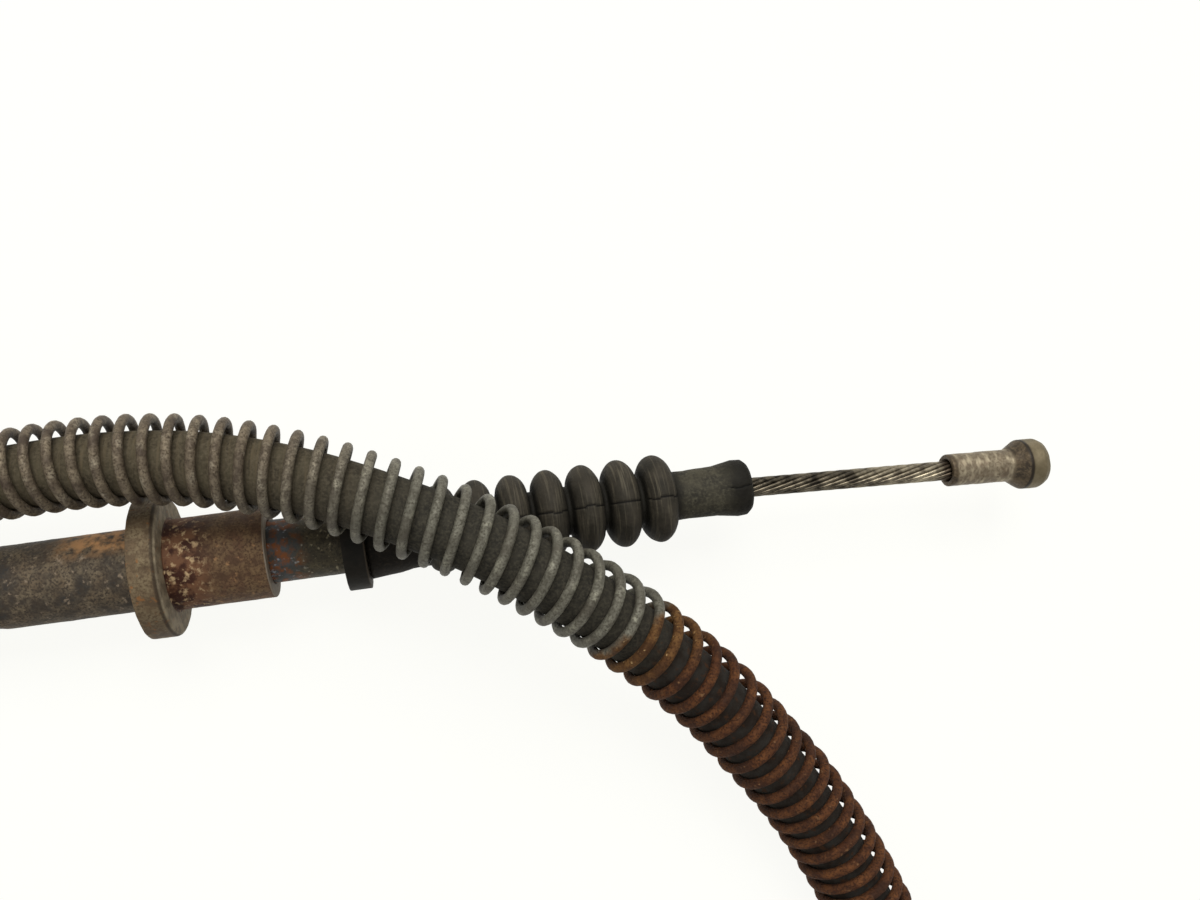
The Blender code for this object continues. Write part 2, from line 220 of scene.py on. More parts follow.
def patches(tree, place, size, low, high, shift=0.0, stretch=(1.0, 1.0, 1.0), detail=5.0):
    """Noise patches of a real size in metres: 0 below the low noise level, 1 above the high."""
    mapping = add(tree, "ShaderNodeMapping", {
        "Vector": place, "Location": (shift, shift, shift), "Scale": [s / size for s in stretch],
    })
    grain = add(tree, "ShaderNodeTexNoise", {
        "Vector": mapping.outputs[0], "Scale": 1.0, "Detail": detail, "Roughness": 0.6,
    })
    return add(tree, "ShaderNodeMapRange", {
        "Value": grain.outputs[0], "From Min": low, "From Max": high,
    }).outputs[0]


def band(tree, value, *edges):
    """1 where a value has passed every pair of soft edges; a falling pair gives 1 below it."""
    result = 1.0
    for low, high in edges:
        passed = add(tree, "ShaderNodeMapRange", {
            "Value": value, "From Min": low, "From Max": high,
        }, interpolation_type="SMOOTHSTEP")
        result = add(tree, "ShaderNodeMath", {
            0: result, 1: passed.outputs[0],
        }, operation="MULTIPLY").outputs[0]
    return result


def layered(tree, colour, *layers):
    """A colour with others laid over it, each where its mask is 1."""
    for mask, over in layers:
        pair = [hex_colour(c) if isinstance(c, str) else c for c in (colour, over)]
        colour = add(tree, "ShaderNodeMix", {
            0: mask, 6: pair[0], 7: pair[1],
        }, data_type="RGBA").outputs[2]
    return colour


def across(tree, place):
    """The point's axes, and x less y, which grows along the run from the coil to end B."""
    axes = add(tree, "ShaderNodeSeparateXYZ", {0: place}).outputs
    reach = add(tree, "ShaderNodeMath", {0: axes[0], 1: axes[1]}, operation="SUBTRACT")
    return axes, reach.outputs[0]


def dressed(tree, shader, colour, height, depth):
    """Joins a colour to the shader, and a height factor as relief of a real depth."""
    relief = add(tree, "ShaderNodeBump", {"Height": height, "Distance": depth})
    tree.links.new(colour, shader.inputs["Base Color"])
    tree.links.new(relief.outputs[0], shader.inputs["Normal"])


def sheath_rubber():
    """Extruded rubber, dull: a grey-brown dust in its grain, greener at the start, and nearly
    black past the crossing, with rust dust rubbed off the guard."""
    material, tree, shader = new_finish("dusty_extruded_rubber", 0.0, 0.85, 0.2)
    place = add(tree, "ShaderNodeTexCoord").outputs["Object"]
    _, reach = across(tree, place)
    dust = patches(tree, place, 2.4 * MM, 0.38, 0.64)
    grit = patches(tree, place, 0.45 * MM, 0.42, 0.68, shift=3.0)
    rings = patches(tree, place, 8.0 * MM, 0.48, 0.7, shift=8.0, stretch=(14.0, 1.0, 1.0))
    rubbed = patches(tree, place, 1.1 * MM, 0.56, 0.66, shift=11.0)
    early = layered(tree, "#393225", (dust, "#4d4635"), (rings, "#5b503c"), (grit, "#5a5140"))
    middle = layered(tree, "#27251f", (dust, "#35322a"), (grit, "#454136"))
    late = layered(tree, "#261e17", (dust, "#34312c"), (rubbed, "#402a1a"))
    colour = layered(
        tree, early, (band(tree, reach, (-75.0 * MM, -35.0 * MM)), middle),
        (band(tree, reach, (5.0 * MM, 22.0 * MM)), late),
    )
    dressed(tree, shader, colour, grit, 0.03 * MM)
    return material


crimp_reach = (9.0, SHEATH_IN_CRIMP, -9.3)
crimp_a = [on_end(END_A_SEAT, END_A_HEADING, FERRULE_TAIL + x * MM) for x in crimp_reach]
crimp_b = [
    on_end(END_B_SEAT, END_B_HEADING, FERRULE_TAIL + x * MM) for x in reversed(crimp_reach)
]
last_turn = 360.0 * COIL_TURNS
loop_count = round(COIL_STEPS * COIL_TURNS)
loops = [coil_point(last_turn * i / loop_count) for i in range(loop_count + 1)]
leaving = (coil_point(last_turn) - coil_point(last_turn - 0.5)).normalized()
straight = 2.0 * SHEATH_R
entry_point = loops[0] + Vector((0.0, straight, 0.0))
exit_points = [loops[-1] + leaving * straight * k for k in (1, 2)]
lead_points = [Vector(p) * MM - ORIGIN for p in LEAD_ROUTE]
run_points = [Vector(p) * MM - ORIGIN for p in RUN_ROUTE]
lead = smooth_route(crimp_a + lead_points + [entry_point, loops[0]])
run = smooth_route([loops[-1]] + exit_points + run_points + crimp_b)
sheath_line = even_points(lead + loops + run, SHEATH_STEP)

sheath = new_piece(
    "sheath", cord_mesh("sheath", sheath_line, SHEATH_R, SHEATH_SIDES), sheath_rubber(),
    "sheath_rubber", "casing", "conduit_lead", "conduit_coil", "conduit_run",
)

# ------------------------------------------------------------------- 2. the wire guard
# The guard is one length of 1.5 mm spring wire, wound right-handed over the sheath and
# left loose on it.  Its plating has dulled to an olive grey, turns golden brown past the
# crossing, and is deep red-brown rust towards end B.
GUARD_START = 82.1 * MM             # along the run, from the coil's end
GUARD_LENGTH = 226.0 * MM
GUARD_OUTER_R = 6.62 * MM
GUARD_WIRE_R = 0.75 * MM
GUARD_WIRE_SIDES = 12
GUARD_STEPS = 40                    # points in one turn
GUARD_FIRST = 0.5                   # of a turn: the wire's end lies on the sheath's left
GUARD_WANDER = 0.08 * MM            # slow change of its radius
# Its pitch, and how far it hangs to the left of the sheath, at even distances along it.
GUARD_PITCH = (3.57, 3.29, 3.33, 3.44, 3.20, 3.91, 3.53, 2.98, 2.87, 2.99)
GUARD_OFFSET = (0.50, 0.50, 0.48, 0.34, 0.22, 0.46, 0.54, 0.54, 0.54, 0.54)
RUST_SLANT = -0.6                   # the rust's edge runs across the guard, not square to it
RUST_WANDER = 3.0 * MM


def read_along(values, share):
    """The value in millimetres at a share of the guard's length."""
    place = share * (len(values) - 1)
    index = min(int(place), len(values) - 2)
    part = place - index
    return (values[index] * (1.0 - part) + values[index + 1] * part) * MM


def guard_points():
    """A right-hand helix round the run, with a slow wander in its radius."""
    lengths = lengths_along(run)
    mean_r = GUARD_OUTER_R - GUARD_WIRE_R
    points = []
    turn, distance = 0.0, 0.0
    while distance < GUARD_LENGTH:
        place, forward = point_at(run, lengths, GUARD_START + distance)
        side = forward.cross(Vector((0.0, 0.0, 1.0))).normalized()
        down = forward.cross(side)
        wander = noise.noise(Vector((turn * 0.7, 0.0, 0.0)))
        radius = mean_r + GUARD_WANDER * wander
        angle = 2.0 * math.pi * (turn + GUARD_FIRST)
        share = distance / GUARD_LENGTH
        middle = place - side * read_along(GUARD_OFFSET, share)
        points.append(middle + radius * (math.cos(angle) * side + math.sin(angle) * down))
        distance += read_along(GUARD_PITCH, share) / GUARD_STEPS
        turn += 1.0 / GUARD_STEPS
    return points


def guard_wire():
    """Plated spring wire, grained like cast zinc: brown-olive at first, grey-green past the
    ferrule, then abruptly golden and, a few turns on, deep red-brown rust, with painted glints
    on the golden and rusted turns."""
    material, tree, shader = new_finish("grained_and_rusting_spring_wire", 0.3, 0.6, 0.3)
    place = add(tree, "ShaderNodeTexCoord").outputs["Object"]
    axes, reach = across(tree, place)
    slant = add(tree, "ShaderNodeMath", {
        0: axes[1], 1: RUST_SLANT, 2: reach,
    }, operation="MULTIPLY_ADD").outputs[0]
    wander = patches(tree, place, 4.0 * MM, 0.3, 0.7, shift=5.0)
    edge = add(tree, "ShaderNodeMath", {
        0: wander, 1: RUST_WANDER, 2: slant,
    }, operation="MULTIPLY_ADD").outputs[0]
    mottle = patches(tree, place, 1.5 * MM, 0.36, 0.64)
    grain = patches(tree, place, 0.32 * MM, 0.46, 0.66, shift=9.0)
    # painted glints: small highlights painted on the golden and rusted turns
    painted_glint = patches(tree, place, 0.9 * MM, 0.63, 0.72, shift=13.0, detail=4.0)
    stain = patches(tree, place, 3.4 * MM, 0.5, 0.66, shift=21.0)
    worn = patches(tree, place, 2.6 * MM, 0.55, 0.7, shift=17.0)
    brown = layered(
        tree, "#605444", (mottle, "#81745f"), (stain, "#4b3f33"), (worn, "#988d78"),
        (grain, "#44392c"),
    )
    grey = layered(
        tree, "#5f5c50", (mottle, "#7b786a"), (stain, "#555045"), (worn, "#94917f"),
        (grain, "#4a463a"),
    )
    gold = layered(
        tree, "#5c3d1f", (mottle, "#7d5a31"), (stain, "#4a3019"), (painted_glint, "#c9a873"),
        (grain, "#472c14"),
    )
    rust = layered(
        tree, "#462714", (mottle, "#6b4222"), (stain, "#3c2416"), (grain, "#321b0e"),
        (painted_glint, "#7c5a3a"),
    )
    golden = band(tree, edge, (-23.5 * MM, -20.5 * MM))
    red = band(tree, edge, (-14.0 * MM, -4.0 * MM))
    colour = layered(
        tree, brown, (band(tree, reach, (-75.0 * MM, -40.0 * MM)), grey), (golden, gold),
        (red, rust),
    )
    rough = add(tree, "ShaderNodeMapRange", {
        "Value": golden, "To Min": 0.55, "To Max": 0.78,
    })
    tree.links.new(rough.outputs[0], shader.inputs["Roughness"])
    dressed(tree, shader, colour, grain, 0.05 * MM)
    return material


guard = new_piece(
    "guard_spring_wire", cord_mesh("guard", guard_points(), GUARD_WIRE_R, GUARD_WIRE_SIDES),
    guard_wire(), "guard_wire", "casing", "guard_spring",
)

# --------------------------------------------------------- 3. the armour and the liner
# Inside each crimp the sheath is stripped and the wound flat-wire armour is gripped, and
# the nylon liner runs on through the guide tube.  Both stay the frame's own solids.


def drawn_wire():
    """Bare flat wire, wound close: satin steel with a brown stain."""
    material, tree, shader = new_finish("bare_flat_wire", 0.9, 0.42, 0.5)
    place = add(tree, "ShaderNodeTexCoord").outputs["Object"]
    stain = patches(tree, place, 2.0 * MM, 0.4, 0.65)
    colour = layered(tree, "#8a8780", (stain, "#5f584b"))
    dressed(tree, shader, colour, stain, 0.02 * MM)
    return material


def natural_nylon():
    """Extruded natural nylon: waxy and milky, with a brown film of old grease."""
    material, tree, shader = new_finish("natural_nylon", 0.0, 0.38, 0.5)
    place = add(tree, "ShaderNodeTexCoord").outputs["Object"]
    grease = patches(tree, place, 3.0 * MM, 0.45, 0.7)
    colour = layered(tree, "#c9c2ae", (grease, "#8d7f62"))
    shader.inputs["Subsurface Weight"].default_value = 0.1
    dressed(tree, shader, colour, grease, 0.01 * MM)
    return material


armour_finish = drawn_wire()
liner_finish = natural_nylon()
for letter in "ab":
    for node_name, finish in (("armour_", armour_finish), ("liner_", liner_finish)):
        node_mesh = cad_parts[node_name + letter].data
        node_mesh.materials.clear()
        node_mesh.materials.append(finish)

# -------------------------------------------------------------------- 4. the ferrules
# Each ferrule is turned from steel bar: a tube that is crimped over the conduit, a collar
# that stops against the bracket, and a barrel that goes through it.  The plating is gone,
# and what is left is grey-brown patina with orange and red-brown rust.
TURN_STEPS = 144
CRIMP_END = -26.4 * MM
CRIMP_R = 6.2 * MM
TUBE_R = 6.4 * MM
GROOVES = (-36.9 * MM, -31.9 * MM)   # middles of the two grooves that the crimp presses in
GROOVE_DEPTH = 0.35 * MM
GROOVE_FLOOR = 0.7 * MM             # half widths at its floor and at its rim
GROOVE_RIM = 1.5 * MM
COLLAR_BACK = -4.3 * MM
COLLAR_R = 10.9 * MM
COLLAR_CHAMFER = 0.5 * MM
BARREL_END = 15.1 * MM
BARREL_R = 7.0 * MM
GUIDE_R = 4.85 * MM
SOCKET_R = GUIDE_R + 0.12 * MM
SOCKET_FLOOR = 3.7 * MM
THROAT_R = 3.1 * MM                 # the liner passes here
ARMOUR_SOCKET_END = -4.9 * MM
ARMOUR_SOCKET_R = 4.95 * MM

END_PLACES = {
    "a": Matrix.Translation(END_A_SEAT) @ Matrix.Rotation(END_A_HEADING, 4, "Z"),
    "b": Matrix.Translation(END_B_SEAT) @ Matrix.Rotation(END_B_HEADING, 4, "Z"),
}


def softened(outline, radius, segments=4):
    """The closed outline with every corner rounded by about a radius."""
    points = [Vector((p[0], p[1])) for p in outline]
    result = []
    for i, corner in enumerate(points):
        before, after = points[i - 1], points[(i + 1) % len(points)]
        reach = min(radius, (before - corner).length * 0.45, (after - corner).length * 0.45)
        start = corner + (before - corner).normalized() * reach
        end = corner + (after - corner).normalized() * reach
        for k in range(segments + 1):
            t = k / segments
            result.append(start.lerp(corner, t).lerp(corner.lerp(end, t), t))
    return result


def refined(outline, step):
    """The closed outline with more points, so that no edge is longer than a step."""
    result = []
    for start, end in zip(outline, outline[1:] + outline[:1]):
        count = max(1, math.ceil((end - start).length / step))
        result += [start.lerp(end, k / count) for k in range(count)]
    return result


def turned(outline, steps):
    """Spins a closed outline of (along, radius) points about X into a closed mesh."""
    shape = bmesh.new()
    corners = [shape.verts.new((p[0], 0.0, max(p[1], 0.0))) for p in outline]
    edges = [shape.edges.new(pair) for pair in zip(corners, corners[1:] + corners[:1])]
    bmesh.ops.spin(
        shape, geom=corners + edges, cent=(0.0, 0.0, 0.0), axis=(1.0, 0.0, 0.0),
        dvec=(0.0, 0.0, 0.0), angle=2.0 * math.pi, steps=steps, use_merge=True,
    )
    bmesh.ops.remove_doubles(shape, verts=shape.verts, dist=0.000002)
    bmesh.ops.dissolve_degenerate(shape, edges=shape.edges, dist=0.000001)
    bmesh.ops.recalc_face_normals(shape, faces=shape.faces)
    return shape


def pitted(shape, depth, size, seed):
    """Wears a surface: moves its points along their normals by noise of a real size."""
    shape.normal_update()
    moves = []
    for vert in shape.verts:
        level = noise.fractal(vert.co / size + Vector((seed, seed, seed)), 0.8, 2.0, 4)
        moves.append(vert.normal * level * depth)
    for vert, move in zip(shape.verts, moves):
        vert.co += move


def placed_mesh(name, shape, place):
    """The mesh of a shape, with its unplaced points kept as an attribute for patterns."""
    mesh = bpy.data.meshes.new(name)
    shape.to_mesh(mesh)
    shape.free()
    spot = mesh.attributes.new("spot", "FLOAT_VECTOR", "POINT")
    flat = [value for vert in mesh.vertices for value in vert.co]
    spot.data.foreach_set("vector", flat)
    mesh.transform(place)
    return mesh


def ferrule_outline():
    """Crimped tube, collar and barrel outside; the two sockets and the throat inside."""
    outer = [(FERRULE_TAIL, CRIMP_R - 0.3 * MM)]
    for groove in GROOVES:
        outer += [
            (groove - GROOVE_RIM, CRIMP_R), (groove - GROOVE_FLOOR, CRIMP_R - GROOVE_DEPTH),
            (groove + GROOVE_FLOOR, CRIMP_R - GROOVE_DEPTH), (groove + GROOVE_RIM, CRIMP_R),
        ]
    outer += [
        (CRIMP_END - 1.1 * MM, CRIMP_R), (CRIMP_END, TUBE_R), (COLLAR_BACK, TUBE_R),
        (COLLAR_BACK, COLLAR_R), (-COLLAR_CHAMFER, COLLAR_R),
        (0.0, COLLAR_R - COLLAR_CHAMFER), (0.0, BARREL_R), (BARREL_END, BARREL_R),
    ]
    inner = [
        (BARREL_END, SOCKET_R), (SOCKET_FLOOR, SOCKET_R), (SOCKET_FLOOR, THROAT_R),
        (ARMOUR_SOCKET_END, THROAT_R), (ARMOUR_SOCKET_END, ARMOUR_SOCKET_R),
        (FERRULE_TAIL, ARMOUR_SOCKET_R),
    ]
    return refined(softened(outer + inner, 0.16 * MM), 0.45 * MM)


def spot_along(tree):
    """A point of a turned piece before it was placed, and how far along the axis it is."""
    spot = add(tree, "ShaderNodeAttribute", attribute_name="spot").outputs["Vector"]
    return spot, add(tree, "ShaderNodeSeparateXYZ", {0: spot}).outputs[0]


def off_axis(tree, spot):
    """A point's distance from the axis that its piece was turned about."""
    flat = add(tree, "ShaderNodeVectorMath", {0: spot, 1: (0.0, 1.0, 1.0)}, operation="MULTIPLY")
    return add(tree, "ShaderNodeVectorMath", {0: flat.outputs[0]}, operation="LENGTH").outputs[1]


def ferrule_steel():
    """Turned steel whose plating has gone: slate patina and brown grime on the tube, with
    an orange bloom along its top, partly rust and partly a painted highlight; brown on the
    collar and paler on its face; dark red-brown scabs on the barrel beside the collar; a grey
    edge at the barrel's end."""
    material, tree, shader = new_finish("turned_steel_with_rust_scabs", 0.2, 0.68, 0.3)
    spot, along = spot_along(tree)
    side = add(tree, "ShaderNodeSeparateXYZ", {0: spot}).outputs[1]
    cloud = patches(tree, spot, 5.5 * MM, 0.4, 0.6, detail=3.0)
    mottle = patches(tree, spot, 1.9 * MM, 0.42, 0.6, shift=2.0)
    grain = patches(tree, spot, 0.38 * MM, 0.44, 0.62, shift=5.0)
    scabs = patches(tree, spot, 3.4 * MM, 0.45, 0.53, shift=7.0)
    flecks = patches(tree, spot, 0.9 * MM, 0.54, 0.66, shift=6.0, detail=6.0)
    orange = patches(tree, spot, 1.5 * MM, 0.38, 0.6, shift=4.0)
    spots = patches(tree, spot, 1.2 * MM, 0.6, 0.72, shift=14.0, detail=6.0)
    slate = patches(tree, spot, 3.6 * MM, 0.45, 0.66, shift=9.0)
    tube = layered(
        tree, "#4a4033", (cloud, "#61523f"), (mottle, "#6d604c"), (slate, "#322f2b"),
        (grain, "#3a3127"), (spots, "#91806b"),
    )
    # the tube's top, towards the window light: the orange bloom laid here is partly rust and partly
    # a painted highlight
    top = band(tree, side, (2.4 * MM, 5.2 * MM))
    by_collar = band(tree, along, (-19.0 * MM, -11.0 * MM))
    bloom = add(tree, "ShaderNodeMath", {0: top, 1: by_collar}, operation="MULTIPLY")
    bloom = add(tree, "ShaderNodeMath", {
        0: bloom.outputs[0], 1: orange,
    }, operation="MULTIPLY").outputs[0]
    tube = layered(tree, tube, (bloom, "#bd8d5c"))
    collar = layered(
        tree, "#4a3a29", (cloud, "#6c5a42"), (mottle, "#78694f"), (grain, "#564632"),
        (spots, "#86592f"),
    )
    face = layered(tree, "#6f6350", (mottle, "#93866e"), (spots, "#96693b"))
    barrel = layered(
        tree, "#4e3826", (cloud, "#634732"), (mottle, "#735b3f"), (grain, "#4a3523"),
        (spots, "#99744e"),
    )
    scabbed = layered(tree, "#6a4830", (scabs, "#3a1c0e"), (flecks, "#b39872"))
    beside = band(tree, along, (8.5 * MM, 3.5 * MM))
    barrel = layered(tree, barrel, (beside, scabbed))
    on_face = band(
        tree, off_axis(tree, spot), (BARREL_R + 0.2 * MM, BARREL_R + 0.5 * MM),
    )
    edge_line = band(tree, along, (-0.9 * MM, -0.6 * MM), (-0.15 * MM, -0.4 * MM))
    edge_line = add(tree, "ShaderNodeMath", {
        0: edge_line, 1: 0.7,
    }, operation="MULTIPLY").outputs[0]
    colour = layered(
        tree, tube, (band(tree, along, (-5.0 * MM, -4.2 * MM)), collar),
        (band(tree, along, (-0.5 * MM, -0.2 * MM)), layered(tree, barrel, (on_face, face))),
        (edge_line, "#2e2419"), (band(tree, along, (14.8 * MM, 14.95 * MM)), "#7d7263"),
    )
    dressed(tree, shader, colour, mottle, 0.05 * MM)
    return material


ferrule_finish = ferrule_steel()
for letter, place in END_PLACES.items():
    body = turned(ferrule_outline(), TURN_STEPS)
    pitted(body, 0.045 * MM, 2.2 * MM, ord(letter))
    new_piece(
        f"crimped_ferrule_{letter}", placed_mesh("ferrule", body, place), ferrule_finish,
        "ferrule_steel", "casing", f"ferrule_{letter}",
    )

# ----------------------------------------------------------------- 5. the guide tubes
# A plain drawn steel tube is pressed into the barrel and carries the bellows.  It is
# grey-green with an orange bloom where the barrel keeps it damp.
GUIDE_START = 4.0 * MM
GUIDE_END = 34.0 * MM
GUIDE_BORE_R = 3.2 * MM


def pipe_outline(start, end, outer_r, inner_r):
    return [(start, outer_r), (end, outer_r), (end, inner_r), (start, inner_r)]


def guide_steel():
    """Drawn steel tube: a grey-green film, paler specks, and orange rust with a blue-grey
    edge near the barrel."""
    material, tree, shader = new_finish("drawn_steel_tube", 0.25, 0.6, 0.3)
    spot, along = spot_along(tree)
    cloud = patches(tree, spot, 2.2 * MM, 0.4, 0.62, shift=1.0)
    grain = patches(tree, spot, 0.35 * MM, 0.46, 0.66, shift=5.0)
    specks = patches(tree, spot, 0.8 * MM, 0.62, 0.72, shift=2.0, detail=2.0)
    bloom = patches(tree, spot, 1.6 * MM, 0.46, 0.6, shift=8.0)
    film = layered(
        tree, "#373123", (cloud, "#514935"), (grain, "#2c261a"), (specks, "#837a61"),
    )
    damp = layered(tree, "#484a4b", (cloud, "#3b3a35"), (bloom, "#74431f"), (specks, "#84878c"))
    colour = layered(tree, film, (band(tree, along, (22.0 * MM, 17.0 * MM)), damp))
    dressed(tree, shader, colour, bloom, 0.05 * MM)
    return material


guide_finish = guide_steel()
for letter, place in END_PLACES.items():
    outline = pipe_outline(GUIDE_START, GUIDE_END, GUIDE_R, GUIDE_BORE_R)
    body = turned(refined(softened(outline, 0.4 * MM), 0.6 * MM), 96)
    pitted(body, 0.03 * MM, 1.2 * MM, ord(letter) + 0.5)
    new_piece(
        f"steel_guide_tube_{letter}", placed_mesh("guide", body, place), guide_finish,
        "guide_steel", "casing", f"guide_tube_{letter}",
    )

# ------------------------------------------------------------------ 6. the stop rings
# A thin black ring on the guide tube stops the bellows' neck.  Its edges are sharp, and
# its face towards the bellows is scuffed lighter.
RING_START = 26.35 * MM
RING_END = 29.75 * MM
RING_R = 7.6 * MM


def ring_black():
    """Black-coated steel ring: matt, with the coat scuffed on the face by the bellows."""
    material, tree, shader = new_finish("matt_black_coat", 0.0, 0.6, 0.15)
    spot, along = spot_along(tree)
    smudge = patches(tree, spot, 1.8 * MM, 0.42, 0.68)
    scuffed = band(tree, along, (RING_END - 0.25 * MM, RING_END - 0.05 * MM))
    colour = layered(tree, "#16140e", (smudge, "#211c15"), (scuffed, "#463d31"))
    dressed(tree, shader, colour, smudge, 0.03 * MM)
    return material


ring_finish = ring_black()
for letter, place in END_PLACES.items():
    outline = pipe_outline(RING_START, RING_END, RING_R, GUIDE_R + 0.15 * MM)
    body = turned(refined(softened(outline, 0.12 * MM), 0.5 * MM), TURN_STEPS)
    pitted(body, 0.02 * MM, 1.0 * MM, ord(letter) + 0.2)
    new_piece(
        f"black_stop_ring_{letter}", placed_mesh("ring", body, place), ring_finish,
        "ring_black", "casing", f"boot_ring_{letter}",
    )

# --------------------------------------------------------------------- 7. the strands
# The pulled wire is a 1x19 strand: twelve outer wires of 0.6 mm laid left-handed over a
# core, 3 mm over all, greased dark, with the wires' backs rubbed bright.
STRAND_INNER_END = -20.0 * MM
STRAND_WIRES = 12
WIRE_R = 0.31 * MM
WIRE_RING_R = 1.19 * MM
STRAND_CORE_R = 1.0 * MM
STRAND_LAY = 27.0 * MM
STRAND_STEP = 0.75 * MM
HOLLOW_DEPTH = 0.2 * MM             # of the painted shade between two wires
BEND_START = 88.0 * MM
BEND_EASE = 4.0 * MM
BENDS = {"a": math.radians(-2.8), "b": 0.0}
NIPPLE_START = 119.6 * MM
NIPPLE_BORE_DEPTH = 8.0 * MM


def strand_line(bend):
    """The strand's middle in its end's frame: straight, then turned a little to one side."""
    last = NIPPLE_START + NIPPLE_BORE_DEPTH - 0.3 * MM
    count = round((last - STRAND_INNER_END) / STRAND_STEP)
    points = []
    for i in range(count + 1):
        along = STRAND_INNER_END + (last - STRAND_INNER_END) * i / count
        past = along - (BEND_START - BEND_EASE)
        if past <= 0.0:
            sideways = 0.0
        elif past < 2.0 * BEND_EASE:
            sideways = math.sin(bend) * past * past / (4.0 * BEND_EASE)
        else:
            sideways = math.sin(bend) * (past - BEND_EASE)
        points.append(Vector((along, sideways, 0.0)))
    return points


def strand_mesh(bend):
    """Twelve wires twisted left-handed round the line, and the core under them."""
    line = strand_line(bend)
    shape = bmesh.new()
    tubes = [(line, STRAND_CORE_R, 16)]
    for index in range(STRAND_WIRES):
        first = 2.0 * math.pi * index / STRAND_WIRES
        wire = []
        for point in line:
            angle = first - 2.0 * math.pi * point.x / STRAND_LAY
            wire.append(point + WIRE_RING_R * Vector((0.0, math.cos(angle), math.sin(angle))))
        tubes.append((wire, WIRE_R, 10))
    for points, radius, sides in tubes:
        wire_mesh = cord_mesh("wire", points, radius, sides)
        shape.from_mesh(wire_mesh)
        bpy.data.meshes.remove(wire_mesh)
    # how far each point lies down between the wires, for the painted shade there
    hollow = shape.verts.layers.float.new("hollow")
    middle_of = kdtree.KDTree(len(line))
    for index, point in enumerate(line):
        middle_of.insert(point, index)
    middle_of.balance()
    for vert in shape.verts:
        middle, _, _ = middle_of.find(vert.co)
        depth = WIRE_RING_R + 0.12 * MM - math.hypot(vert.co.y - middle.y, vert.co.z - middle.z)
        vert[hollow] = min(1.0, max(0.0, depth / HOLLOW_DEPTH))
    return shape


def greased_wire():
    """Bright drawn wire under old grease, with painted shade near black in the hollows between
    the wires, glinting on their backs, and rubbed clean towards the nipple."""
    material, tree, shader = new_finish("greased_drawn_wire", 0.8, 0.38, 0.5)
    spot, along = spot_along(tree)
    hollow = add(tree, "ShaderNodeAttribute", attribute_name="hollow").outputs["Fac"]
    rubbed = band(tree, along, (99.0 * MM, 114.0 * MM))
    grimy = band(tree, along, (NIPPLE_START - 2.2 * MM, NIPPLE_START - 0.6 * MM))
    grease = patches(tree, spot, 1.8 * MM, 0.36, 0.6, shift=3.0)
    dark = layered(tree, "#756c5a", (grease, "#29241b"))
    bright = layered(tree, "#b5aa90", (grease, "#62594a"))
    # hollow: painted shade, near black, where the wires lie against each other
    colour = layered(
        tree, dark, (rubbed, bright), (grimy, "#4d4235"), (hollow, "#0e0c09"),
    )
    dressed(tree, shader, colour, grease, 0.01 * MM)
    return material


strand_finish = greased_wire()
for letter, place in END_PLACES.items():
    new_piece(
        f"laid_strand_{letter}", placed_mesh("strand", strand_mesh(BENDS[letter]), place),
        strand_finish, "strand_steel", f"inner_{letter}", f"strand_{letter}",
    )

# -------------------------------------------------------------------- 8. the bellows
# The bellows is moulded rubber: a neck pushed over the guide tube, seven convolutions
# and a nose that grips the strand and travels with it.  It has weathered brown-black, and
# split a little along the mould's parting line.
NECK_START = RING_END + 0.2 * MM
NECK_STEP = GUIDE_END + 0.6 * MM
NECK_R = 6.2 * MM                   # at its mouth, past its step and at the first crown
NECK_STEP_R = 5.85 * MM
NECK_END_R = 5.4 * MM
FIRST_CROWN = 41.6 * MM
BELLOWS_PITCH = 5.52 * MM
BELLOWS_COUNT = 7
CROWN_R = 6.75 * MM
VALLEY_R = 3.75 * MM
CROWN_SHARE = 0.9                   # of the pitch; the rest is the flat floor of the valley
CROWN_POWER = 0.62                  # 0.5 gives a half ellipse, more a slimmer crown
CROWN_SAMPLES = 20
BELLOWS_WALL = 1.2 * MM
LEAST_HOLLOW_R = 2.7 * MM
NOSE_START = 78.3 * MM
NOSE_END = 88.8 * MM
NOSE_R = 3.75 * MM
NOSE_TIP_R = 4.35 * MM
NOSE_BORE_R = 2.3 * MM
BOW = {"a": 0.15 * MM, "b": 0.0}     # how far the bellows bows to one side
BOW_START, BOW_REACH = 44.0 * MM, 30.0 * MM
CRACK_REACH = (50.0 * MM, 78.0 * MM)
CRACK_DEPTH = 0.3 * MM
CRACK_STEP = 2.0                    # steps of the turning, from the top towards the left
CRACK_WOBBLE = 2.5 * MM
BELLOWS_STEPS = 176


